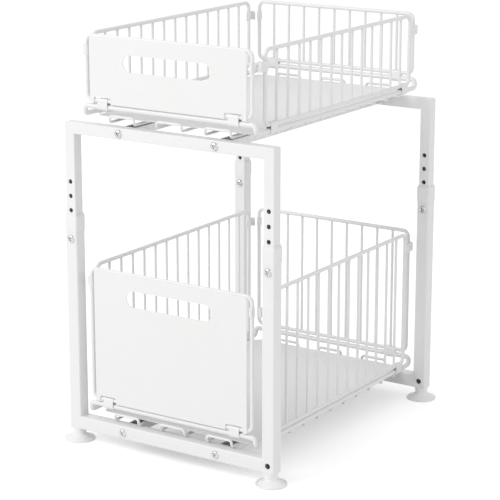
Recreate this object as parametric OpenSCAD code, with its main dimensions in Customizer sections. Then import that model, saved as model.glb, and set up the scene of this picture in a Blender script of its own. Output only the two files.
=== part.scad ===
// Pull-out cabinet basket: two wire baskets, one above the other, each on two ball-bearing
// slides.  The upper pair of slides hangs in an upper frame that telescopes on the posts of
// the lower frame, and every basket wall folds flat on its hinges.
// Millimetres.  X runs from left to right, Y from front to back and Z up.  The origin lies
// on the floor in the middle of the four posts.  A basket pulls out towards -Y.

/* [Frame] */
// Distance between the middles of the left and right posts
post_spacing = 320; // [300:1:420]
// Distance between the middles of the front and rear frames
frame_spacing = 417; // [400:1:480]
// Side of the square lower tube
lower_tube = 19; // [18:0.5:22]
// Wall of the lower tube
lower_wall = 1; // [0.8:0.1:1.4]
// Wall of the upper tube
upper_wall = 1.2; // [0.8:0.1:1.6]
// Room between the upper tube and the inside of the lower tube
tube_gap = 0.5; // [0.3:0.05:0.8]
// Corner radius of the lower tube
tube_round = 2; // [1.5:0.25:3]
// Length of the lower posts
lower_post = 304; // [290:1:340]
// Length of the upper posts, with the top bar
upper_post = 255; // [240:1:280]
// Height of the middle of the top bar in the highest setting
top_bar_z = 447; // [440:1:480]
// Side of the small chamfer on the upper frame's outer corners
corner_cut = 2.5; // [1:0.5:4]

/* [Height setting] */
// Diameter of the height holes in the upper posts
height_hole = 6.4; // [5.5:0.1:8]
// Distance from one height hole to the next
height_pitch = 20; // [16:1:24]
// Number of height holes in each upper post
height_holes = 5; // [3:1:6]
// Distance of the height screw below the top of the lower post
height_screw_drop = 29.6; // [26:0.2:40]

/* [Bushes and feet] */
// Wall of the bush around the lower tube
bush_wall = 0.8; // [0.6:0.1:1.5]
// Length of lower tube that the bush covers
bush_grip = 18.5; // [12:0.5:22]
// Height of the bush above the tube
bush_cap = 5; // [3:0.5:8]
// Room between the bush and the upper tube
bush_gap = 0.15; // [0.05:0.05:0.3]
// Height of the feet below the posts
foot_h = 18; // [14:0.5:26]
// Diameter of the foot's disc
foot_disc = 43; // [34:1:50]
// Thickness of the foot's disc
foot_disc_h = 2.5; // [2:0.5:4]
// Diameter of the foot's neck
foot_neck = 18; // [14:0.5:18.5]
// Height at which the cone meets the neck
foot_cone_top = 9; // [7:0.5:11]
// Diameter of the cone just above the disc
foot_cone = 38; // [30:1:40]
// Length of the plug in the tube
foot_plug = 5; // [4:0.5:6]
// Diameter of the hole low in the right posts
low_hole = 8; // [6:0.5:10]
// Height of that hole above the lower end of the post
low_hole_z = 10.5; // [10:0.5:13]

/* [Screws] */
// Diameter of a screw's shank
screw_d = 5; // [4:0.5:6]
// Diameter of a screw's head
screw_head = 11.6; // [9:0.2:13]
// Height of a screw's head
screw_head_h = 2.8; // [2:0.2:4]
// Length of one slot of the cross recess
recess_l = 6.4; // [4:0.2:8]
// Width of one slot of the cross recess
recess_w = 1.4; // [1:0.1:2]
// Depth of the cross recess
recess_h = 1.4; // [0.8:0.1:1.8]
// Room around a shank in its hole
screw_gap = 0.1; // [0.05:0.05:0.3]
// Length of a rail screw past the rail's end plate
screw_tip = 1.5; // [0.5:0.5:3]

/* [Slides] */
// Distance of a slide from the middle of the basket
slide_x = 77; // [70:1:84]
// Width of the rail
rail_w = 20; // [18:0.5:24]
// Height of the rail
rail_h = 10; // [9.5:0.5:12]
// Wall of the rail
rail_wall = 1.2; // [1:0.1:1.6]
// Width of the lips along the rail's top edges
rail_lip = 1; // [0.5:0.1:1.2]
// Width of the rail's end plate
plate_w = 26; // [24:1:34]
// Height of the rail's end plate
plate_h = 14; // [12:0.5:15]
// Thickness of the rail's end plate
plate_t = 2.5; // [1.5:0.5:3]
// Space between the rail's side and the runner's side
race_gap = 3.2; // [3:0.1:3.4]
// Length of the runner
runner_len = 155; // [145:1:165]
// Distance of the runner's rear end from the rear bar when the basket is in
runner_back = 34; // [28:1:40]
// Height of the runner
runner_h = 6; // [5.5:0.25:6.25]
// Wall of the runner
runner_wall = 1.6; // [1.4:0.1:2]
// How far a basket slides out
slide_travel = 200; // [160:5:200]
// Diameter of a ball
ball_d = 4; // [3.8:0.1:4.2]
// Balls on each side of a runner
ball_count = 5; // [3:1:5]
// Distance from one ball to the next
ball_pitch = 13; // [10:0.5:13]
// Room between a ball and its groove
ball_gap = 0.1; // [0.05:0.05:0.15]
// Room between a ball and its hole in the cage
ball_fit = 0.05; // [0.03:0.01:0.08]
// Thickness of the ball cage's sides
cage_side = 1; // [0.8:0.1:1.2]
// Length of the ball cage past its last ball
cage_end = 4; // [2:0.5:6]
// Thickness of the ball cage's floor
cage_floor = 0.8; // [0.6:0.1:0.8]
// Room above and below the ball cage's floor
cage_gap = 0.4; // [0.3:0.05:0.4]

/* [Brackets] */
// Thickness of the bracket's sheet
bracket_t = 1.5; // [1.2:0.1:2]
// Width of the foot that stands on the runner
bracket_foot = 9; // [7:0.5:11]
// Length of a bracket along the slide
bracket_l = 12; // [8:1:18]

/* [Basket base] */
// Distance from a side rod's middle to the lower posts
side_room = 14; // [12:0.5:18]
// How far the base's front and rear rods lie outside the middle of their frames
base_overhang = 1.5; // [0:0.5:3]
// Diameter of the base's ring
ring_d = 7; // [6:0.25:7.5]
// Height of the raised front and rear rods above the side rods
ring_lift = 11.5; // [11:0.5:16]
// Diameter of all wires
wire_d = 3.8; // [3:0.1:4.2]
// Depth to which a welded wire sinks into its neighbour
weld = 0.3; // [0.2:0.05:0.4]
// Room between the loops under the basket and the frame's bars
bar_room = 1; // [1:0.2:4]
// Number of cross wires
cross_count = 10; // [10:2:10]
// Distance from the front rod to the first cross wire
cross_end = 48.5; // [46:0.5:52]
// Room between the ring's outside and a cross wire's end
cross_short = 1; // [0.5:0.25:2]
// Width of a loop under the basket, middle to middle
loop_w = 40; // [36:1:44]
// Height of the raised ends of the loops
loop_lift = 8.6; // [7.5:0.1:9.5]
// Thickness of the floor plate
floor_t = 0.8; // [0.6:0.1:1]
// Distance from the ring's side rods to the floor plate
floor_side = 12; // [11.5:0.5:16]
// Distance from the ring's front rod to the floor plate
floor_end = 10; // [9:0.5:16]
// Corner radius of the floor plate
floor_round = 8; // [4:1:16]

/* [Walls] */
// Height of the upper basket's walls above its side rods
upper_wall_h = 106; // [90:1:114]
// Height of the lower basket's walls above its side rods
lower_wall_h = 205; // [120:1:205]
// Diameter of the rods around each wall
rim_d = 5.6; // [5:0.2:6]
// Radius of the rods' corners
rim_round = 9; // [7:0.5:14]
// Height of a wall's lower rod above its hinge
rim_foot = 8.2; // [7.8:0.1:9]
// Distance of the front and rear walls' rods outside their hinge
front_set = 0.6; // [0.4:0.1:0.8]
// Distance of the side walls' rods outside their hinge
side_set = 0.8; // [0.7:0.1:1]
// Room between the front and rear walls and the side walls as they fold
fold_gap = 0.5; // [0.4:0.05:0.7]
// Distance from the front rod to the side wall's first upright
side_inset = 20; // [18:0.5:22]
// Number of wires in a rear wall
rear_wire_count = 9; // [5:1:11]
// Number of wires in a side wall
side_wire_count = 13; // [9:1:15]

/* [Front sheet] */
// Thickness of the sheet on the front wall
sheet_t = 1.2; // [0.8:0.1:1.6]
// Distance of the sheet's side edges from the uprights' middle
sheet_side = 6.4; // [5:0.2:9]
// Height of the sheet's lower edge above the hinge
sheet_foot = 5; // [4.2:0.1:6]
// Corner radius of the sheet
sheet_round = 4; // [2:0.5:8]
// Length of the handle slot
handle_l = 139; // [100:1:160]
// Height of the handle slot
handle_h = 22.5; // [18:0.5:28]
// Distance from the top rod's middle to the handle slot's middle
handle_drop = 32.5; // [26:0.5:36]
// Length of the notch around each hinge strap
notch_l = 28; // [20:1:32]
// Height of the notch's top above the hinge
notch_top = 13.5; // [13:0.5:17]
// Corner radius of the notch
notch_round = 3; // [1:0.5:4]

/* [Hinge straps] */
// Thickness of a strap
strap_t = 1.2; // [1:0.1:1.4]
// Width of a strap
strap_w = 16; // [10:0.5:18]
// Room between a wall's wire and the edges of the strap on both sides of it
strap_room = 0.4; // [0.3:0.1:0.8]
// Room between a strap and the rod that it turns on
hinge_gap = 0.1; // [0.05:0.01:0.1]
// Distance of a front or rear strap from the middle
front_strap_x = 104.5; // [90:0.5:108]
// Room between a side strap and the last cross wire
side_strap_room = 1.5; // [1:0.25:4]

/* [Corner clips] */
// Height of a clip
clip_h = 13; // [10:0.5:16]
// Distance from the top rod's middle to a clip's middle
clip_drop = 20.75; // [18:0.25:26]
// Thickness of a clip
clip_t = 1.2; // [1:0.1:1.4]
// Room between the two halves of a clip
clip_gap = 0.6; // [0.4:0.1:1.2]
// Room between a clip on a folded side wall and the loops under the basket
catch_room = 0.6; // [0.3:0.1:1]

/* [Hidden] */
$fn = 48;

white = "white";
steel = "silver";
slack = 1;              // how far a cutter runs past what it cuts
corner_steps = 3;       // straight steps in the corner of a square tube

// Frame
upper_tube = lower_tube - 2 * (lower_wall + tube_gap);
upper_round = tube_round - lower_wall;
bottom_bar_z = foot_h + lower_tube / 2;
lower_post_top = foot_h + lower_post;
upper_post_foot = top_bar_z + upper_tube / 2 - upper_post;
height_screw_z = lower_post_top - height_screw_drop;

// Slides, measured from the middle of a rail
rail_in = rail_w / 2 - rail_wall;
rail_floor = rail_wall - rail_h / 2;
runner_half = rail_in - race_gap;
ball_x = rail_in - race_gap / 2;
runner_low = rail_floor + 2 * cage_gap + cage_floor;
runner_top = runner_low + runner_h;
groove_r = ball_d / 2 + ball_gap;
cage_top = ball_d / 2 + cage_side;
cage_len = (ball_count - 1) * ball_pitch + ball_d + 2 * cage_end;
runner_end = frame_spacing / 2 - lower_tube / 2 - runner_back;
cage_mid = runner_end - runner_len / 2 - slide_travel / 4;

// Base, with heights measured from the middle of the side rods
base_w = post_spacing - lower_tube - 2 * side_room;
base_l = frame_spacing + 2 * base_overhang;
cross_z = weld - ring_d / 2 - wire_d / 2;
cross_pitch = (base_l - 2 * cross_end) / (cross_count - 1);
loop_z = cross_z - wire_d + weld;
loop_low = loop_z - wire_d / 2;
base_rise = lower_tube / 2 + bar_room - loop_low;
floor_z = cross_z + wire_d / 2;

// Walls
rim_r = rim_d / 2;
side_x = base_w / 2 + side_set;
front_x = side_x - rim_d - fold_gap;
side_y = base_l / 2 - side_inset;
hinge_r = ring_d / 2 + hinge_gap;
side_strap_y = base_l / 2 - cross_end + wire_d / 2 + side_strap_room + strap_w / 2;
strap_mouth = wire_d + 2 * strap_room;
keeper_r = rim_r + clip_t;
catch_tip = base_l / 2 + front_set - keeper_r - clip_gap;
loop_y = catch_tip + catch_room + wire_d / 2;

// Points of a rectangle with rounded corners, each corner in a few straight steps
function round_rect(w, h, r) = [
    for (corner = [0:3], step = [0:corner_steps])
        let (a = 90 * (corner + step / corner_steps),
             sx = (corner == 0 || corner == 3) ? 1 : -1,
             sy = corner < 2 ? 1 : -1)
        [sx * (w / 2 - r) + r * cos(a), sy * (h / 2 - r) + r * sin(a)]
];
function unit(v) = v / norm(v);

// Height of a level's bar, and of its basket's side rods
function bar_z(upper) = upper ? top_bar_z : bottom_bar_z;
function bar_tube(upper) = upper ? upper_tube : lower_tube;
function base_z(upper) = bar_z(upper) + base_rise;
function wall_h(upper) = upper ? upper_wall_h : lower_wall_h;

// A round rod from a to b
module rod(a, b, d) {
    v = b - a;
    translate(a)
        rotate([0, acos(v.z / norm(v)), atan2(v.y, v.x)])
            cylinder(d = d, h = norm(v));
}

// A quarter bend at corner p of a rod that runs from a past p to b
module elbow(a, p, b, d, r) {
    u = unit(a - p);
    v = unit(b - p);
    n = cross(v, u);
    c = p + r * (u + v);
    multmatrix([[-v.x, -u.x, n.x, c.x],
                [-v.y, -u.y, n.y, c.y],
                [-v.z, -u.z, n.z, c.z],
                [0, 0, 0, 1]])
        rotate_extrude(angle = 90) translate([r, 0]) circle(d = d);
}

// A closed rod through the points, with a bend of radius r at each corner
module ring(points, d, r) {
    last = len(points) - 1;
    for (i = [0:last]) {
        p = points[i];
        before = points[i == 0 ? last : i - 1];
        after = points[i == last ? 0 : i + 1];
        elbow(before, p, after, d, r);
        v = unit(after - p);
        if (norm(after - p) > 2 * r + 0.01)
            rod(p + r * v, after - r * v, d);
    }
}

// A flat ring in the plane of a wall: x along it, z up
module rim(half, low, high, d, r) {
    ring([[-half, 0, low], [half, 0, low], [half, 0, high], [-half, 0, high]], d, r);
}

// A rectangle of rod lying flat, with its front and rear ends raised by lift
module saddle(w, l, lift, d) {
    x = w / 2;
    y = l / 2;
    ring([[-x, -y, lift], [x, -y, lift], [x, -y, 0], [x, y, 0],
          [x, y, lift], [-x, y, lift], [-x, y, 0], [-x, -y, 0]], d, lift / 2);
}

// A square tube standing on z = 0, solid or as its inside
module post(side, r, h) {
    linear_extrude(h) polygon(round_rect(side, side, r));
}

// The same along X, from -half to half
module bar(side, r, half) {
    rotate([90, 0, 90]) translate([0, 0, -half]) post(side, r, 2 * half);
}

// A copy for the front and one for the rear
module both_ends() {
    for (end = [0, 1]) mirror([0, end, 0]) children();
}

// --- Frames ---

// Lower frame: two posts with a bar welded between their lower ends
module lower_frame(y) {
    half = post_spacing / 2;
    inner = lower_tube - 2 * lower_wall;
    inner_round = tube_round - lower_wall;
    translate([0, y, 0]) color(white) difference() {
        union() {
            for (x = [-half, half])
                translate([x, 0, foot_h]) post(lower_tube, tube_round, lower_post);
            translate([0, 0, bottom_bar_z])
                bar(lower_tube, tube_round, half - lower_tube / 2 + tube_round + lower_wall);
        }
        for (x = [-half, half])
            translate([x, 0, foot_h - slack])
                post(inner, inner_round, lower_post + 2 * slack);
        translate([0, 0, bottom_bar_z]) bar(inner, inner_round, half - lower_tube / 2);
        for (x = [-half, half])
            translate([x, 0, height_screw_z]) front_hole(screw_d + 2 * screw_gap, lower_tube);
        translate([half, 0, foot_h + low_hole_z]) front_hole(low_hole, lower_tube);
        for (x = [-slide_x, slide_x])
            translate([x, 0, bottom_bar_z]) bar_hole(lower_tube);
    }
}

// Upper frame: two posts mitred to the top bar
module upper_frame(y) {
    half = post_spacing / 2;
    inner = upper_tube - 2 * upper_wall;
    translate([0, y, 0]) color(white) difference() {
        bridge(upper_tube, upper_round, 0);
        bridge(inner, max(upper_round - upper_wall, 0.4), slack);
        for (x = [-half, half], i = [0:height_holes - 1])
            translate([x, 0, height_screw_z + i * height_pitch])
                front_hole(height_hole, upper_tube);
        for (x = [-slide_x, slide_x])
            translate([x, 0, top_bar_z]) bar_hole(upper_tube);
        for (side = [-1, 1])
            translate([side * (half + upper_tube / 2), 0, top_bar_z + upper_tube / 2])
                rotate([0, 45, 0])
                    cube([corner_cut, upper_tube + 2 * slack, corner_cut], center = true);
    }
}

// Posts and top bar of one section, each cut at the mitre; extra lengthens the posts' feet
module bridge(side, r, extra) {
    half = post_spacing / 2;
    big = 4 * side;
    for (x = [-half, half])
        difference() {
            translate([x, 0, upper_post_foot - extra])
                post(side, r, top_bar_z + side / 2 - upper_post_foot + extra);
            translate([x, 0, top_bar_z])
                rotate([0, x < 0 ? 45 : -45, 0])
                    translate([0, 0, big / 2])
                        cube([2 * big, big, big], center = true);
        }
    difference() {
        translate([0, 0, top_bar_z]) bar(side, r, half + side / 2);
        for (x = [-half, half])
            translate([x, 0, top_bar_z])
                rotate([0, x < 0 ? 45 : -45, 0])
                    translate([0, 0, -big / 2])
                        cube([2 * big, big, big], center = true);
    }
}

// Hole of diameter d through the front wall of a tube around the origin
module front_hole(d, tube) {
    translate([0, -tube / 4, 0]) rotate([90, 0, 0]) cylinder(d = d, h = tube / 4 + slack);
}

// Hole for a rail screw through a bar around the origin
module bar_hole(tube) {
    rotate([90, 0, 0])
        cylinder(d = screw_d + 2 * screw_gap, h = tube + 2 * slack, center = true);
}

// --- Bushes, feet and screws ---

// Cap on the lower tube's end that guides the upper tube
module bush(x, y) {
    side = lower_tube + 2 * bush_wall;
    cut = bush_cap / 4;
    hole = upper_tube + 2 * bush_gap;
    translate([x, y, lower_post_top]) color(white) difference() {
        union() {
            translate([0, 0, -bush_grip])
                post(side, tube_round + bush_wall, bush_grip + bush_cap - 2 * cut);
            translate([0, 0, bush_cap - 2 * cut])
                post(side - cut, tube_round + bush_wall / 2, cut);
            translate([0, 0, bush_cap - cut]) post(side - 2 * cut, tube_round, cut);
        }
        translate([0, 0, -bush_grip - slack]) post(lower_tube, tube_round, bush_grip + slack);
        translate([0, 0, -slack]) post(hole, upper_round, bush_cap + 2 * slack);
    }
}

// Foot: a flared disc on a neck, with a plug in the tube
module foot(x, y) {
    inner = lower_tube - 2 * lower_wall;
    translate([x, y, 0]) color(white) {
        rotate_extrude() polygon([
            [0, 0], [foot_disc / 2 - 0.6, 0], [foot_disc / 2, 0.6],
            [foot_disc / 2, foot_disc_h - 0.6], [foot_disc / 2 - 0.6, foot_disc_h],
            [foot_cone / 2, foot_disc_h], [foot_neck / 2 + 1, foot_cone_top - 1],
            [foot_neck / 2, foot_cone_top], [foot_neck / 2, foot_h], [0, foot_h]]);
        translate([0, 0, foot_h - 0.5]) post(inner, tube_round - lower_wall, foot_plug + 0.5);
    }
}

// Pan-head screw: its head on y = 0, pointing along +Y
module screw(shank) {
    r = screw_head / 2;
    rotate([-90, 0, 0]) difference() {
        rotate_extrude() polygon([
            [0, -screw_head_h], [0.45 * r, -screw_head_h], [0.8 * r, -0.8 * screw_head_h],
            [0.97 * r, -0.45 * screw_head_h], [r, 0], [screw_d / 2, 0],
            [screw_d / 2, shank - 0.5], [screw_d / 2 - 0.5, shank], [0, shank]]);
        for (a = [0, 90])
            rotate([0, 0, a])
                translate([0, 0, recess_h / 2 - screw_head_h - slack / 2])
                    cube([recess_l, recess_w, recess_h + slack], center = true);
    }
}

// The four screws that set the height, which end just short of the upper tube
module height_screws() {
    shank = lower_wall + 0.6 * tube_gap;
    color(steel)
        for (x = [-post_spacing / 2, post_spacing / 2], y = [-frame_spacing, frame_spacing])
            translate([x, y / 2 - lower_tube / 2, height_screw_z]) screw(shank);
}

// The four screws that hold the ends of a level's two rails
module rail_screws(upper) {
    tube = bar_tube(upper);
    color(steel)
        both_ends()
            for (x = [-slide_x, slide_x])
                translate([x, -frame_spacing / 2 - tube / 2, bar_z(upper)])
                    screw(tube + plate_t + screw_tip);
}

// --- Slides ---

// A cross section in X and Z, drawn out along Y from y0 over length l
module along_y(y0, l) {
    translate([0, y0 + l, 0]) rotate([90, 0, 0]) linear_extrude(l) children();
}

// Grooves for the balls, one on each side of a slide
module grooves() {
    for (x = [-ball_x, ball_x]) translate([x, 0]) circle(r = groove_r);
}

// Fixed rail: an open channel with lips and an end plate screwed to each bar
module rail(x, upper) {
    half = frame_spacing / 2 - bar_tube(upper) / 2;
    translate([x, 0, bar_z(upper)]) color(steel) {
        along_y(-half, 2 * half) difference() {
            square([rail_w, rail_h], center = true);
            translate([-rail_in, rail_floor]) square([2 * rail_in, rail_h - 2 * rail_wall]);
            translate([rail_lip - rail_in, 0]) square([2 * (rail_in - rail_lip), rail_h]);
            grooves();
        }
        both_ends()
            difference() {
                translate([-plate_w / 2, -half, -plate_h / 2]) cube([plate_w, plate_t, plate_h]);
                translate([0, -half - slack, 0]) rotate([-90, 0, 0])
                    cylinder(d = screw_d + 2 * screw_gap, h = plate_t + 2 * slack);
            }
    }
}

// Runner: an upside-down channel that carries the basket between two rows of balls
module runner(x, upper) {
    translate([x, 0, bar_z(upper)]) color(steel)
        along_y(runner_end - runner_len, runner_len) difference() {
            translate([-runner_half, runner_low]) square([2 * runner_half, runner_h]);
            translate([runner_wall - runner_half, runner_low - slack])
                square([2 * (runner_half - runner_wall), runner_h - runner_wall + slack]);
            grooves();
        }
}

// Ball cage: a channel around the runner with a hole for each ball
module cage(x, upper) {
    low = rail_floor + cage_gap;
    out = ball_x + cage_side / 2;
    in = ball_x - cage_side / 2;
    translate([x, cage_mid, bar_z(upper)]) color(steel) difference() {
        along_y(-cage_len / 2, cage_len) difference() {
            translate([-out, low]) square([2 * out, cage_top - low]);
            translate([-in, low + cage_floor]) square([2 * in, cage_top - low]);
        }
        for (i = [0:ball_count - 1])
            translate([0, (i - (ball_count - 1) / 2) * ball_pitch, 0]) rotate([0, 90, 0])
                cylinder(d = ball_d + 2 * ball_fit, h = 2 * out + 2 * slack, center = true);
    }
}

// All balls of a level
module balls(upper) {
    color(steel)
        for (x = [-slide_x, slide_x], side = [-ball_x, ball_x], i = [0:ball_count - 1])
            translate([x + side, cage_mid + (i - (ball_count - 1) / 2) * ball_pitch,
                       bar_z(upper)])
                sphere(d = ball_d);
}

// Four brackets of a level: each stands on a runner and curls round the two wires of a loop
module brackets(upper) {
    color(steel)
        for (x = [-slide_x, slide_x], i = [1, 4])
            translate([x, 0, bar_z(upper)])
                along_y(i * cross_pitch - bracket_l / 2, bracket_l) bracket_section();
}

module bracket_section() {
    wire_z = base_rise + loop_z;
    deck = base_rise + loop_low;
    foot = bracket_foot / 2;
    translate([-foot, runner_top]) square([2 * foot, bracket_t]);
    for (side = [0, 1]) mirror([side, 0]) {
        translate([foot - bracket_t, runner_top]) square([bracket_t, deck - runner_top]);
        translate([foot - bracket_t, deck - bracket_t])
            square([loop_w / 2 - foot + bracket_t, bracket_t]);
        translate([loop_w / 2, wire_z]) difference() {
            circle(r = wire_d / 2 + bracket_t);
            circle(r = wire_d / 2);
            translate([-loop_w, -loop_w]) square([loop_w, 2 * loop_w]);
        }
    }
}

// --- Baskets ---

// Base: the ring with its raised ends, cross wires under it and three loops under those
module base(upper) {
    reach = base_w / 2 + ring_d / 2 - cross_short;
    translate([0, 0, base_z(upper)]) color(white) {
        saddle(base_w, base_l, ring_lift, ring_d);
        for (i = [0:cross_count - 1])
            translate([0, (i - (cross_count - 1) / 2) * cross_pitch, cross_z])
                rod([-reach, 0, 0], [reach, 0, 0], wire_d);
        for (x = [-slide_x, 0, slide_x])
            translate([x, 0, loop_z]) saddle(loop_w, 2 * loop_y, loop_lift, wire_d);
    }
}

// Sheet that lies on the cross wires
module floor_plate(upper) {
    w = base_w - 2 * floor_side;
    l = base_l - 2 * floor_end;
    translate([0, 0, base_z(upper) + floor_z]) color(white)
        linear_extrude(floor_t) union() {
            square([w - 2 * floor_round, l], center = true);
            square([w, l - 2 * floor_round], center = true);
            for (x = [-1, 1], y = [-1, 1])
                translate([x * (w / 2 - floor_round), y * (l / 2 - floor_round)])
                    circle(r = floor_round);
        }
}

// A wall is drawn standing on its hinge: x along it, -y outwards and z up

// Rods and upright wires of a wall
module wire_wall(half, h, set, wires) {
    pitch = 2 * half / (wires + 1);
    translate([0, -set, 0]) {
        rim(half, rim_foot, h, rim_d, rim_round);
        if (wires > 0)
            for (i = [1:wires])
                rod([i * pitch - half, 0, rim_foot + rim_r - weld],
                    [i * pitch - half, 0, h - rim_r + weld], wire_d);
    }
}

// Sheet of the front wall, with the handle slot and a notch around each strap
module front_sheet(h) {
    half = front_x - sheet_side;
    low = sheet_foot;
    translate([0, weld - front_set - rim_r, 0]) rotate([90, 0, 0]) linear_extrude(sheet_t)
        difference() {
            union() {
                translate([-half, low]) square([2 * half, h - sheet_round - low]);
                translate([sheet_round - half, low])
                    square([2 * (half - sheet_round), h - low]);
                for (x = [-1, 1])
                    translate([x * (half - sheet_round), h - sheet_round])
                        circle(r = sheet_round);
            }
            slot(0, h - handle_drop, handle_l, handle_h);
            for (x = [-front_strap_x, front_strap_x]) translate([x, 0]) notch();
        }
}

// A slot with round ends
module slot(x, z, l, h) {
    reach = (l - h) / 2;
    translate([x, z]) {
        square([2 * reach, h], center = true);
        for (end = [-reach, reach]) translate([end, 0]) circle(d = h);
    }
}

// A notch open below, with rounded upper corners
module notch() {
    slot(0, notch_top - notch_round, notch_l, 2 * notch_round);
    translate([-notch_l / 2, sheet_foot - slack])
        square([notch_l, notch_top - notch_round - sheet_foot + slack]);
}

module front_wall(upper) {
    h = wall_h(upper) - ring_lift;
    at_front(upper) {
        wire_wall(front_x, h, front_set, 0);
        front_sheet(h);
    }
}

module rear_wall(upper) {
    at_rear(upper) wire_wall(front_x, wall_h(upper) - ring_lift, front_set, rear_wire_count);
}

module side_wall(upper, side) {
    at_side(upper, side) wire_wall(side_y, wall_h(upper), side_set, side_wire_count);
}

// The places of the four walls' hinges
module at_front(upper) {
    translate([0, -base_l / 2, base_z(upper) + ring_lift]) color(white) children();
}

module at_rear(upper) {
    rotate([0, 0, 180]) at_front(upper) children();
}

module at_side(upper, side) {
    translate([side * base_w / 2, 0, base_z(upper)]) rotate([0, 0, side * 90])
        color(white) children();
}

// --- Hinge straps ---

// Two strips, each bent round the hinge rod, with both edges curled over the wall's lower
// rod and a mouth between the edges for a wire
module straps(x, set) {
    for (middle = [-x, x])
        translate([middle - strap_w / 2, 0, 0]) rotate([90, 0, 90]) linear_extrude(strap_w)
            difference() {
                belt(set, hinge_r + strap_t, rim_r + strap_t);
                belt(set, hinge_r, rim_r);
                translate([-set - strap_mouth / 2, rim_foot])
                    square([strap_mouth, rim_d + strap_t]);
            }
}

module front_straps(upper) {
    at_front(upper) straps(front_strap_x, front_set);
}

module rear_straps(upper) {
    at_rear(upper) straps(front_strap_x, front_set);
}

module side_straps(upper, side) {
    at_side(upper, side) straps(side_strap_y, side_set);
}

// Outline of a belt around the two rods, with the radii a below and b above
module belt(set, a, b) {
    above = [-set, rim_foot];
    lean = atan2(above.y, above.x);
    turn = acos((a - b) / norm(above));
    left = [cos(lean + turn), sin(lean + turn)];
    right = [cos(lean - turn), sin(lean - turn)];
    circle(r = a);
    translate(above) circle(r = b);
    polygon([a * left, a * right, above + b * right, above + b * left]);
}

// --- Corner clips ---

// Half of a clip that sits on a front or rear wall's upright, open towards the side wall
module keepers(upper, turn) {
    z = base_z(upper) + wall_h(upper) - clip_drop - clip_h / 2;
    rotate([0, 0, turn]) translate([0, -base_l / 2 - front_set, z]) color(white)
        for (side = [0, 1]) mirror([side, 0, 0])
            translate([front_x, 0, 0]) linear_extrude(clip_h) difference() {
                circle(r = keeper_r);
                circle(r = rim_r);
                translate([rim_r - clip_t, -keeper_r]) square([keeper_r, 2 * keeper_r]);
            }
}

// Half of a clip that sits on a side wall's end upright and reaches towards the keeper
module catches(upper, side) {
    z = base_z(upper) + wall_h(upper) - clip_drop - clip_h / 2;
    translate([side * side_x, 0, z]) mirror([side < 0 ? 1 : 0, 0, 0]) color(white)
        both_ends() linear_extrude(clip_h) catch_section();
}

// Section of a catch at the front end; x is 0 at the side wall's rods
module catch_section() {
    translate([0, -side_y]) difference() {
        circle(r = keeper_r);
        circle(r = rim_r);
        translate([-2 * keeper_r, -keeper_r]) square([2 * keeper_r, 2 * keeper_r]);
    }
    translate([rim_r, -catch_tip]) square([clip_t, catch_tip - side_y]);
    translate([clip_t - rim_r, -catch_tip]) square([2 * rim_r, clip_t]);
}

// --- What is drawn ---

left = -post_spacing / 2;
right = post_spacing / 2;
front = -frame_spacing / 2;
rear = frame_spacing / 2;

lower_frame(front);  // front_lower_frame
lower_frame(rear);  // rear_lower_frame
upper_frame(front);  // front_upper_frame
upper_frame(rear);  // rear_upper_frame
bush(left, front);  // front_left_bush
bush(right, front);  // front_right_bush
bush(left, rear);  // rear_left_bush
bush(right, rear);  // rear_right_bush
foot(left, front);  // front_left_foot
foot(right, front);  // front_right_foot
foot(left, rear);  // rear_left_foot
foot(right, rear);  // rear_right_foot
height_screws();
rail_screws(true);  // upper_rail_screws
rail_screws(false);  // lower_rail_screws
rail(-slide_x, true);  // upper_left_rail
rail(slide_x, true);  // upper_right_rail
rail(-slide_x, false);  // lower_left_rail
rail(slide_x, false);  // lower_right_rail
runner(-slide_x, true);  // upper_left_runner
runner(slide_x, true);  // upper_right_runner
runner(-slide_x, false);  // lower_left_runner
runner(slide_x, false);  // lower_right_runner
cage(-slide_x, true);  // upper_left_cage
cage(slide_x, true);  // upper_right_cage
cage(-slide_x, false);  // lower_left_cage
cage(slide_x, false);  // lower_right_cage
balls(true);  // upper_balls
balls(false);  // lower_balls
brackets(true);  // upper_brackets
brackets(false);  // lower_brackets
base(true);  // upper_base
base(false);  // lower_base
floor_plate(true);  // upper_floor_plate
floor_plate(false);  // lower_floor_plate
front_wall(true);  // upper_front_wall
rear_wall(true);  // upper_rear_wall
side_wall(true, -1);  // upper_left_wall
side_wall(true, 1);  // upper_right_wall
front_wall(false);  // lower_front_wall
rear_wall(false);  // lower_rear_wall
side_wall(false, -1);  // lower_left_wall
side_wall(false, 1);  // lower_right_wall
front_straps(true);  // upper_front_straps
rear_straps(true);  // upper_rear_straps
side_straps(true, -1);  // upper_left_straps
side_straps(true, 1);  // upper_right_straps
front_straps(false);  // lower_front_straps
rear_straps(false);  // lower_rear_straps
side_straps(false, -1);  // lower_left_straps
side_straps(false, 1);  // lower_right_straps
keepers(true, 0);  // upper_front_keepers
keepers(true, 180);  // upper_rear_keepers
catches(true, -1);  // upper_left_catches
catches(true, 1);  // upper_right_catches
keepers(false, 0);  // lower_front_keepers
keepers(false, 180);  // lower_rear_keepers
catches(false, -1);  // lower_left_catches
catches(false, 1);  // lower_right_catches
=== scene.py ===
import math

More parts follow.
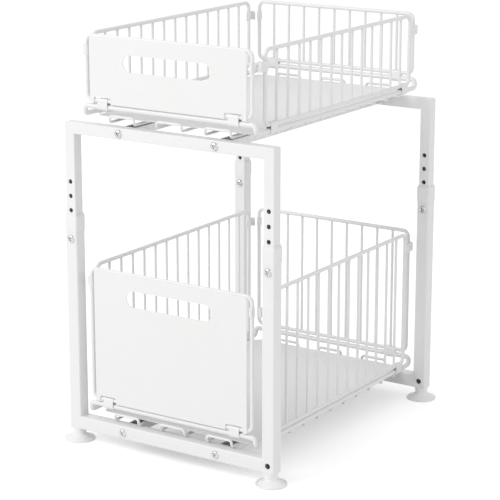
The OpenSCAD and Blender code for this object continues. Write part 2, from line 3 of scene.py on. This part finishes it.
import bmesh
import bpy
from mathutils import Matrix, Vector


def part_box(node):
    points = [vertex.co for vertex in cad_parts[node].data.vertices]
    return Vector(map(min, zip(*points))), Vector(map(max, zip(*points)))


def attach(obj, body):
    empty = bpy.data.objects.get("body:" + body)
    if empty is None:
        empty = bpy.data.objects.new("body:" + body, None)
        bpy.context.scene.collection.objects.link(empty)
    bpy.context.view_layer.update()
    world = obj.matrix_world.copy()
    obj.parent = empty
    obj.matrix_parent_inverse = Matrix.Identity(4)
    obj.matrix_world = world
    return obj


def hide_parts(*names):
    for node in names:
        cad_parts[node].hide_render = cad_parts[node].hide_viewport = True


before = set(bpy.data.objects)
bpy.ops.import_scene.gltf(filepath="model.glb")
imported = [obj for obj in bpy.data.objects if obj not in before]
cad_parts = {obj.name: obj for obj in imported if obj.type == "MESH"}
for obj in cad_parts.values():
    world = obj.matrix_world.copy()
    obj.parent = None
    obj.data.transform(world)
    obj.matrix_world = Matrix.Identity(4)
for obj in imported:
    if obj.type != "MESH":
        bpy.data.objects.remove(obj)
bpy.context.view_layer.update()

# The camera stands high in front of the right corner and looks a little down, with a long
# lens, so that the posts stay nearly upright in the picture.
camera_place = (1.4156, -2.1763, 0.9318)
camera_turn = 33.231                      # degrees from straight ahead
camera_drop = 14.677                      # degrees below the horizon
sensor_width = 36                         # millimetres
focal_length = 135.88                     # millimetres
view_depth = 50                           # metres, past the far edge of the floor
camera = bpy.data.objects.new("camera", bpy.data.cameras.new("camera"))
camera.location = camera_place
camera.rotation_euler = (math.radians(90 - camera_drop), 0, math.radians(camera_turn))
camera.data.sensor_width = sensor_width
camera.data.lens = focal_length
camera.data.clip_end = view_depth
bpy.context.scene.collection.objects.link(camera)
bpy.context.scene.camera = camera


# The frame: two U-shaped halves of welded square steel tube, the upper ones sliding in
# the lower ones.  White powder coat, which dries with a fine orange-peel skin.
def new_material(name):
    """An empty material, its Principled shader and its Object coordinates."""
    material = bpy.data.materials.new(name)
    material.use_nodes = True
    nodes = material.node_tree.nodes
    coordinates = nodes.new("ShaderNodeTexCoord")
    return material, nodes["Principled BSDF"], coordinates.outputs["Object"]


def noise(material, place, size, detail=3.0):
    """A noise whose grains are about size metres wide."""
    nodes, links = material.node_tree.nodes, material.node_tree.links
    texture = nodes.new("ShaderNodeTexNoise")
    texture.inputs["Scale"].default_value = 1 / size
    texture.inputs["Detail"].default_value = detail
    links.new(place, texture.inputs["Vector"])
    return texture.outputs["Fac"]


def between(material, factor, low, high):
    """A number that runs from low to high over the values that a noise mostly has."""
    noise_low, noise_high = 0.3, 0.7
    nodes, links = material.node_tree.nodes, material.node_tree.links
    spread = nodes.new("ShaderNodeMapRange")
    spread.inputs["From Min"].default_value = noise_low
    spread.inputs["From Max"].default_value = noise_high
    spread.inputs["To Min"].default_value = low
    spread.inputs["To Max"].default_value = high
    links.new(factor, spread.inputs["Value"])
    return spread.outputs["Result"]


def mottled(material, factor, first, second):
    """A colour that drifts between two tones."""
    nodes, links = material.node_tree.nodes, material.node_tree.links
    mix = nodes.new("ShaderNodeMix")
    mix.data_type = "RGBA"
    mix.inputs[6].default_value = (*first, 1)
    mix.inputs[7].default_value = (*second, 1)
    links.new(between(material, factor, 0, 1), mix.inputs[0])
    return mix.outputs[2]


def bumps(material, shader, *layers):
    """Bump from (height, depth in metres) layers, one on the other."""
    nodes, links = material.node_tree.nodes, material.node_tree.links
    below = None
    for height, depth in layers:
        bump = nodes.new("ShaderNodeBump")
        bump.inputs["Distance"].default_value = depth
        links.new(height, bump.inputs["Height"])
        if below:
            links.new(below, bump.inputs["Normal"])
        below = bump.outputs["Normal"]
    links.new(below, shader.inputs["Normal"])


def powder_coat(name, tone, roughness):
    """Baked white powder on steel, with faint warm patches."""
    patch_size, patch_tint = 0.060, (1.0, 0.992, 0.98)
    peel_size, peel_depth = 0.0016, 0.00004
    grain_size, grain_depth = 0.0004, 0.000008
    material, shader, place = new_material(name)
    links = material.node_tree.links
    patches = noise(material, place, patch_size)
    peel = noise(material, place, peel_size, detail=2.0)
    grain = noise(material, place, grain_size, detail=1.0)
    warm = tuple(c * t for c, t in zip(tone, patch_tint))
    links.new(mottled(material, patches, tone, warm), shader.inputs["Base Color"])
    links.new(between(material, peel, roughness - 0.05, roughness + 0.06),
              shader.inputs["Roughness"])
    shader.inputs["Specular IOR Level"].default_value = 0.45
    shader.inputs["Coat Weight"].default_value = 0.25
    shader.inputs["Coat Roughness"].default_value = 0.22
    bumps(material, shader, (peel, peel_depth), (grain, grain_depth))
    return material


def coat(material, slot, *names):
    """Gives CAD nodes a material; slot, the name of its finish, is not used."""
    for name in names:
        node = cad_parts[name]
        node.data.materials.clear()
        node.data.materials.append(material)


tube_coat = powder_coat("tube_coat", (0.83, 0.83, 0.835), 0.38)
coat(tube_coat, "white_coat", "front_lower_frame", "rear_lower_frame",
     "front_upper_frame", "rear_upper_frame")


# Bushes and feet: white injection-moulded plastic, a little softer and duller than the
# coat.  The bushes are pushed over the lower tubes, the feet are plugged into them.
def moulded(name, tone, roughness):
    """Moulded plastic with the fine grain of a sparked tool and faint flow marks."""
    flow_size, flow_shade = 0.018, 0.97
    grain_size, grain_depth = 0.0005, 0.000015
    material, shader, place = new_material(name)
    links = material.node_tree.links
    flow = noise(material, place, flow_size)
    grain = noise(material, place, grain_size, detail=2.0)
    shade = tuple(c * flow_shade for c in tone)
    links.new(mottled(material, flow, tone, shade), shader.inputs["Base Color"])
    links.new(between(material, grain, roughness - 0.06, roughness + 0.06),
              shader.inputs["Roughness"])
    shader.inputs["Specular IOR Level"].default_value = 0.5
    shader.inputs["Subsurface Weight"].default_value = 0.08
    shader.inputs["Subsurface Scale"].default_value = 0.002
    bumps(material, shader, (grain, grain_depth))
    return material


corners = ("front_left", "front_right", "rear_left", "rear_right")
bush_plastic = moulded("bush_plastic", (0.86, 0.86, 0.86), 0.50)
foot_plastic = moulded("foot_plastic", (0.88, 0.88, 0.88), 0.42)
coat(bush_plastic, "bush_plastic", *(corner + "_bush" for corner in corners))
coat(foot_plastic, "foot_plastic", *(corner + "_foot" for corner in corners))


# Screws: cold-headed pan heads with a tapered cross recess, bright nickel plate over steel.
# Each was driven home by hand, so no two recesses stand at the same angle.
def plated(name, tone, roughness, streak, metal):
    """Plated steel: streak is the size in metres of the marks along X, Y and Z."""
    mark_size, mark_depth = 0.001, 0.000012
    cloud_size, cloud_shade = 0.012, 0.86
    material, shader, place = new_material(name)
    nodes, links = material.node_tree.nodes, material.node_tree.links
    stretch = nodes.new("ShaderNodeMapping")
    stretch.inputs["Scale"].default_value = tuple(mark_size / s for s in streak)
    links.new(place, stretch.inputs["Vector"])
    marks = noise(material, stretch.outputs["Vector"], mark_size)
    cloud = noise(material, place, cloud_size)
    dull = tuple(c * cloud_shade for c in tone)
    links.new(mottled(material, cloud, tone, dull), shader.inputs["Base Color"])
    links.new(between(material, marks, roughness - 0.07, roughness + 0.09),
              shader.inputs["Roughness"])
    shader.inputs["Metallic"].default_value = metal
    bumps(material, shader, (marks, mark_depth))
    return material


screw_steel = plated("screw_steel", (0.63, 0.63, 0.64), 0.20, (0.0004, 0.0004, 0.0004), 1.0)

head_radius = 0.0058
head_height = 0.0028
dome_fullness = 3.2                       # 2 would make the head half an ellipse
shank_radius = 0.0025
shank_chamfer = 0.0005
head_rings = 9                            # rings of faces on the head's dome
screw_sides = 40
crease = 30                               # degrees from which an edge looks sharp
flute_top = (0.0064, 0.0015)              # length and width of a recess flute at the top
flute_foot = (0.0020, 0.0009)             # and at its foot
recess_depth = 0.0021
turn_seed = 11


def lathe(name, profile, sides):
    """A closed solid turned about Y from (radius, y) points, none of them on the axis."""
    points = [(0, profile[0][1], 0), (0, profile[-1][1], 0)]
    for radius, y in profile:
        for i in range(sides):
            a = 2 * math.pi * i / sides
            points.append((radius * math.cos(a), y, radius * math.sin(a)))
    faces = []
    for row in range(len(profile) - 1):
        for i in range(sides):
            j = (i + 1) % sides
            near = 2 + row * sides
            faces.append((near + i, near + j, near + sides + j, near + sides + i))
    last = 2 + (len(profile) - 1) * sides
    for i in range(sides):
        j = (i + 1) % sides
        faces.append((0, 2 + j, 2 + i))
        faces.append((1, last + i, last + j))
    mesh = bpy.data.meshes.new(name)
    mesh.from_pydata(points, [], faces)
    return mesh


def flute(name, turned):
    """A wedge, taller than the head, that cuts a flute along X, or along Z if turned."""
    top, foot = -2 * head_height, recess_depth - head_height
    spread = (head_height + recess_depth) / recess_depth
    points = []
    for y, share in ((top, spread), (foot, 0)):
        half = [(f + (t - f) * share) / 2 for t, f in zip(flute_top, flute_foot)]
        for a, b in ((-1, -1), (1, -1), (1, 1), (-1, 1)):
            x, z = a * half[0], b * half[1]
            points.append((-z, y, x) if turned else (x, y, z))
    mesh = bpy.data.meshes.new(name)
    mesh.from_pydata(points, [], [(0, 1, 2, 3), (7, 6, 5, 4), (0, 4, 5, 1), (1, 5, 6, 2),
                                  (2, 6, 7, 3), (3, 7, 4, 0)])
    return mesh


def outward(mesh):
    """Turns every face of a closed mesh outwards."""
    work = bmesh.new()
    work.from_mesh(mesh)
    bmesh.ops.recalc_face_normals(work, faces=work.faces)
    work.to_mesh(mesh)
    work.free()


def screw_pattern(name, shank):
    """One screw along +Y, with the underside of its head on y = 0."""
    radii = [head_radius * (i + 1) / head_rings for i in range(head_rings)]
    profile = [(r, -head_height * math.sqrt(max(1 - (r / head_radius) ** dome_fullness, 0)))
               for r in radii]
    profile += [(shank_radius, 0), (shank_radius, shank - shank_chamfer),
                (shank_radius - shank_chamfer, shank)]
    pattern = bpy.data.objects.new(name, lathe(name, profile, screw_sides))
    outward(pattern.data)
    bpy.context.scene.collection.objects.link(pattern)
    for turned in (False, True):
        cutter = bpy.data.objects.new("flute", flute("flute", turned))
        outward(cutter.data)
        bpy.context.scene.collection.objects.link(cutter)
        cut = pattern.modifiers.new("flute", "BOOLEAN")
        cut.operation = "DIFFERENCE"
        cut.solver = "EXACT"
        cut.object = cutter
        seen = pattern.evaluated_get(bpy.context.evaluated_depsgraph_get())
        mesh = bpy.data.meshes.new_from_object(seen)
        pattern.modifiers.clear()
        pattern.data = mesh
        bpy.data.objects.remove(cutter)
    pattern.data.shade_smooth()
    pattern.data.set_sharp_from_angle(angle=math.radians(crease))
    return pattern


def new_tree(name, *sockets):
    """A tree with these named inputs after its geometry, and their identifiers by name."""
    tree = bpy.data.node_groups.new(name, "GeometryNodeTree")
    inputs = {}
    for title, kind in (("Geometry", "Geometry"), *sockets):
        socket = tree.interface.new_socket(title, in_out="INPUT",
                                           socket_type="NodeSocket" + kind)
        inputs[title] = socket.identifier
    tree.interface.new_socket("Geometry", in_out="OUTPUT", socket_type="NodeSocketGeometry")
    return tree, inputs


def screw_tree(name):
    """Sets a pattern on every point, turned as the point says and then by chance."""
    tree, inputs = new_tree(name, ("Pattern", "Object"), ("Spread of turns", "Float"),
                            ("Finish", "Material"))
    nodes, links = tree.nodes, tree.links
    given = nodes.new("NodeGroupInput").outputs
    pattern = nodes.new("GeometryNodeObjectInfo")
    links.new(given["Pattern"], pattern.inputs["Object"])
    chance = nodes.new("FunctionNodeRandomValue")
    chance.data_type = "FLOAT"
    chance.inputs["Seed"].default_value = turn_seed
    chance.inputs[2].default_value = 0
    links.new(given["Spread of turns"], chance.inputs[3])
    facing = nodes.new("GeometryNodeInputNamedAttribute")
    facing.data_type = "FLOAT"
    facing.inputs["Name"].default_value = "facing"
    turn = nodes.new("ShaderNodeCombineXYZ")
    links.new(chance.outputs[1], turn.inputs["Y"])
    links.new(facing.outputs["Attribute"], turn.inputs["Z"])
    placed = nodes.new("GeometryNodeInstanceOnPoints")
    links.new(given["Geometry"], placed.inputs["Points"])
    links.new(pattern.outputs["Geometry"], placed.inputs["Instance"])
    links.new(turn.outputs["Vector"], placed.inputs["Rotation"])
    real = nodes.new("GeometryNodeRealizeInstances")
    links.new(placed.outputs["Instances"], real.inputs["Geometry"])
    finished = nodes.new("GeometryNodeSetMaterial")
    links.new(real.outputs["Geometry"], finished.inputs["Geometry"])
    links.new(given["Finish"], finished.inputs["Material"])
    links.new(finished.outputs["Geometry"], nodes.new("NodeGroupOutput").inputs["Geometry"])
    return tree, inputs


def loose_points(name, points):
    """An object that is only points, for a tree to build on."""
    mesh = bpy.data.meshes.new(name)
    mesh.from_pydata(points, [], [])
    piece = bpy.data.objects.new(name, mesh)
    bpy.context.scene.collection.objects.link(piece)
    return piece


def build(piece, tree, inputs, values):
    """Runs the tree on the piece with these inputs and keeps the result as a plain mesh."""
    modifier = piece.modifiers.new(tree.name, "NODES")
    modifier.node_group = tree
    for title, value in values.items():
        modifier[inputs[title]] = value
    seen = piece.evaluated_get(bpy.context.evaluated_depsgraph_get())
    piece.data = bpy.data.meshes.new_from_object(seen)
    piece.data.name = piece.name
    piece.modifiers.clear()


screw_group, screw_inputs = screw_tree("screw_rows")


def screws(node, body, shank, rows):
    """The screws of one CAD node; rows are (y, facing) and x and z come from its box."""
    low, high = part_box(node)
    x, z = high[0] - head_radius, (low[2] + high[2]) / 2
    places = [(side * x, y, z, facing) for side in (-1, 1) for y, facing in rows(low, high)]
    piece = loose_points(node + "_seen", [place[:3] for place in places])
    piece.data.attributes.new("facing", "FLOAT", "POINT")
    piece.data.attributes["facing"].data.foreach_set("value", [place[3] for place in places])
    pattern = screw_pattern("screw", shank)
    # A cross looks the same after a quarter turn, so that is all the spread it needs.
    build(piece, screw_group, screw_inputs,
          {"Pattern": pattern, "Spread of turns": math.pi / 2, "Finish": screw_steel})
    piece.data.attributes.remove(piece.data.attributes["facing"])
    bpy.data.objects.remove(pattern)
    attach(piece, body)
    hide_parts(node)


# The height screws end just short of the upper tube; the rail screws go right through.
height_shank = 0.0013
upper_rail_shank = 0.020
lower_rail_shank = 0.023
screws("height_screws", "lower_frame", height_shank,
       lambda low, high: [(low[1] + head_height, 0), (high[1] - height_shank, 0)])
for level, body, shank in (("upper", "upper_frame", upper_rail_shank),
                           ("lower", "lower_frame", lower_rail_shank)):
    screws(f"{level}_rail_screws", body, shank,
           lambda low, high: [(low[1] + head_height, 0), (high[1] - head_height, math.pi)])


# Slides: rails, runners and ball cages of zinc-plated steel strip, drawn lengthwise, with
# hardened balls.  The brackets are bent from the same strip.
rolled = (0.0005, 0.020, 0.0005)
slide_steel = plated("slide_steel", (0.78, 0.785, 0.795), 0.46, rolled, 0.7)
ball_steel = plated("ball_steel", (0.78, 0.78, 0.80), 0.14, (0.0008, 0.0008, 0.0008), 1.0)
levels = ("upper", "lower")
for level in levels:
    for side in ("left", "right"):
        coat(slide_steel, "slide_steel", f"{level}_{side}_rail", f"{level}_{side}_runner",
             f"{level}_{side}_cage")
    coat(slide_steel, "slide_steel", f"{level}_brackets")
    coat(ball_steel, "ball_steel", f"{level}_balls")


# Baskets: drawn steel wire and rod, butt-welded and powder-coated in one piece, so the
# coat runs over the welds.  The floor is a thin coated sheet.
wire_coat = powder_coat("wire_coat", (0.82, 0.82, 0.825), 0.32)
sheet_coat = powder_coat("sheet_coat", (0.83, 0.83, 0.835), 0.42)
for level in levels:
    coat(wire_coat, "white_coat", f"{level}_base")
    coat(sheet_coat, "white_coat", f"{level}_floor_plate", f"{level}_front_wall")
    coat(wire_coat, "white_coat", f"{level}_rear_wall", f"{level}_left_wall",
         f"{level}_right_wall")


# Weld beads: where two wires cross or one ends on a rod, the metal has flowed into a small
# collar that the coat covers.  No two are quite alike.
wire = 0.0038                             # diameter of a wire
sunk = 0.0003                             # how deep one wire is melted into the next
rim = 0.0056                              # diameter of the rods around a wall
ring = 0.007                              # diameter of the ring that the base hangs on
cross_wires = 10
cross_span = 0.323                        # from the first cross wire to the last
cross_pitch = cross_span / (cross_wires - 1)
loop_middles = (-0.077, 0, 0.077)
loop_half = 0.020                         # from a loop's middle to either of its wires
loop_wires = [x + side for x in loop_middles for side in (-loop_half, loop_half)]
rear_wires = 9
side_wires = 13
bead_segments, bead_rings = 8, 6
base_bead = (0.0023, 0.0023, 0.0012)      # half axes
wall_bead = (0.0024, 0.0024, 0.0009)
bead_unevenness = 0.07
bead_seed = 5


def bead_tree(name):
    """Sets a flattened bead on every point; its sizes are inputs of the tree."""
    tree, inputs = new_tree(name, ("Half axes", "Vector"), ("Unevenness", "Float"),
                            ("Coat", "Material"))
    nodes, links = tree.nodes, tree.links
    given = nodes.new("NodeGroupInput").outputs
    ball = nodes.new("GeometryNodeMeshUVSphere")
    ball.inputs["Segments"].default_value = bead_segments
    ball.inputs["Rings"].default_value = bead_rings
    ball.inputs["Radius"].default_value = 1
    low = nodes.new("ShaderNodeMath")
    low.operation = "SUBTRACT"
    low.inputs[0].default_value = 1
    links.new(given["Unevenness"], low.inputs[1])
    high = nodes.new("ShaderNodeMath")
    high.inputs[0].default_value = 1
    links.new(given["Unevenness"], high.inputs[1])
    chance = nodes.new("FunctionNodeRandomValue")
    chance.data_type = "FLOAT"
    chance.inputs["Seed"].default_value = bead_seed
    links.new(low.outputs[0], chance.inputs[2])
    links.new(high.outputs[0], chance.inputs[3])
    scale = nodes.new("ShaderNodeVectorMath")
    scale.operation = "SCALE"
    links.new(given["Half axes"], scale.inputs[0])
    links.new(chance.outputs[1], scale.inputs["Scale"])
    placed = nodes.new("GeometryNodeInstanceOnPoints")
    links.new(given["Geometry"], placed.inputs["Points"])
    links.new(ball.outputs["Mesh"], placed.inputs["Instance"])
    links.new(scale.outputs[0], placed.inputs["Scale"])
    real = nodes.new("GeometryNodeRealizeInstances")
    links.new(placed.outputs["Instances"], real.inputs["Geometry"])
    smooth = nodes.new("GeometryNodeSetShadeSmooth")
    links.new(real.outputs["Geometry"], smooth.inputs["Geometry"])
    coated = nodes.new("GeometryNodeSetMaterial")
    links.new(smooth.outputs["Geometry"], coated.inputs["Geometry"])
    links.new(given["Coat"], coated.inputs["Material"])
    links.new(coated.outputs["Geometry"], nodes.new("NodeGroupOutput").inputs["Geometry"])
    return tree, inputs


bead_group, bead_inputs = bead_tree("weld_bead")


def beads(name, body, points, half_axes):
    """One mesh with a bead on every point, riding on the body."""
    piece = loose_points(name, points)
    build(piece, bead_group, bead_inputs,
          {"Half axes": half_axes, "Unevenness": bead_unevenness, "Coat": wire_coat})
    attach(piece, body)


def evenly(half, count):
    """The places of count wires between two uprights at -half and half."""
    return [2 * half * i / (count + 1) - half for i in range(1, count + 1)]


for level in levels:
    low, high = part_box(f"{level}_base")
    rows = [(i - (cross_wires - 1) / 2) * cross_pitch for i in range(cross_wires)]
    loop_top = low[2] + wire - sunk / 2
    ring_bottom = loop_top + wire - sunk
    ring_x = high[0] - ring / 2
    beads(f"{level}_base_beads", f"{level}_basket",
          [(x, y, loop_top) for x in loop_wires for y in rows]
          + [(x, y, ring_bottom) for x in (-ring_x, ring_x) for y in rows], base_bead)
    for wall, count in (("rear", rear_wires), ("left", side_wires), ("right", side_wires)):
        low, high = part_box(f"{level}_{wall}_wall")
        heights = (low[2] + rim, high[2] - rim)
        middle_x, middle_y = (low[0] + high[0]) / 2, (low[1] + high[1]) / 2
        if wall == "rear":
            places = [(x, middle_y) for x in evenly(high[0] - rim / 2, count)]
        else:
            places = [(middle_x, y) for y in evenly(high[1] - rim / 2, count)]
        beads(f"{level}_{wall}_beads", f"{level}_{wall}_side",
              [(x, y, z) for x, y in places for z in heights], wall_bead)


# Hinge straps: strips of coated sheet bent round the base's rod and the wall's lower rod.
# They are the same sheet and coat as the front walls; the hollow between the rods is open.
for level in levels:
    for wall in ("front", "rear", "left", "right"):
        coat(sheet_coat, "white_coat", f"{level}_{wall}_straps")


# Corner clips: white plastic halves that hold one wall's upright to the next.
# The keepers sit on the front and rear walls, the catches on the side walls.
clip_plastic = moulded("clip_plastic", (0.84, 0.84, 0.84), 0.45)
for level in levels:
    coat(clip_plastic, "clip_plastic", f"{level}_front_keepers", f"{level}_rear_keepers",
         f"{level}_left_catches", f"{level}_right_catches")


# The studio: a white floor that runs out of view, even light from all sides, one large
# soft lamp from the front left and above, and a weaker one from the right.
def lamp(name, place, target, size, watts):
    """A square softbox at place that faces target."""
    light = bpy.data.lights.new(name, "AREA")
    light.size = size
    light.energy = watts
    holder = bpy.data.objects.new(name, light)
    holder.location = place
    direction = [t - p for t, p in zip(target, place)]
    flat = math.hypot(direction[0], direction[1])
    holder.rotation_euler = (math.atan2(flat, -direction[2]), 0,
                             math.atan2(direction[1], direction[0]) - math.pi / 2)
    bpy.context.scene.collection.objects.link(holder)


def background_rays(tree):
    """1 for the rays that show the background: seen, mirrored or through glass."""
    path = tree.nodes.new("ShaderNodeLightPath").outputs
    shown = path["Is Camera Ray"]
    for ray in ("Is Glossy Ray", "Is Transmission Ray"):
        larger = tree.nodes.new("ShaderNodeMath")
        larger.operation = "MAXIMUM"
        tree.links.new(shown, larger.inputs[0])
        tree.links.new(path[ray], larger.inputs[1])
        shown = larger.outputs[0]
    return shown


object_middle = (0, 0, 0.3)
lamp("key", (-1.6, -2.6, 2.4), object_middle, size=2.2, watts=53)
lamp("fill", (2.6, -0.6, 1.4), object_middle, size=1.8, watts=7)

floor_reach = 12                          # metres from the middle to each edge
floor_tone = 0.9
floor_glow = 0.36                         # lifts the floor to white, only where it is seen
daylight = 0.71                           # what the surroundings give the object
floor_mesh = bpy.data.meshes.new("studio_floor")
floor_mesh.from_pydata([(-floor_reach, -floor_reach, 0), (floor_reach, -floor_reach, 0),
                        (floor_reach, floor_reach, 0), (-floor_reach, floor_reach, 0)],
                       [], [(0, 1, 2, 3)])
floor = bpy.data.objects.new("studio_floor", floor_mesh)
bpy.context.scene.collection.objects.link(floor)

floor_white, floor_shader, _ = new_material("floor_white")
floor_shader.inputs["Base Color"].default_value = (floor_tone, floor_tone, floor_tone, 1)
floor_shader.inputs["Roughness"].default_value = 0.9
floor_shader.inputs["Specular IOR Level"].default_value = 0.0
floor_links = floor_white.node_tree.links
glow = floor_white.node_tree.nodes.new("ShaderNodeMath")
glow.operation = "MULTIPLY"
glow.inputs[1].default_value = floor_glow
floor_links.new(background_rays(floor_white.node_tree), glow.inputs[0])
floor_links.new(glow.outputs[0], floor_shader.inputs["Emission Strength"])
floor_shader.inputs["Emission Color"].default_value = (1, 1, 1, 1)
floor.data.materials.append(floor_white)

world = bpy.data.worlds.new("studio")
world.use_nodes = True
bpy.context.scene.world = world
nodes, links = world.node_tree.nodes, world.node_tree.links
strength = nodes.new("ShaderNodeMapRange")
strength.inputs["To Min"].default_value = daylight
strength.inputs["To Max"].default_value = 1.0
links.new(background_rays(world.node_tree), strength.inputs["Value"])
links.new(strength.outputs["Result"], nodes["Background"].inputs["Strength"])
nodes["Background"].inputs["Color"].default_value = (1, 1, 1, 1)

bpy.context.scene.view_settings.view_transform = "Standard"
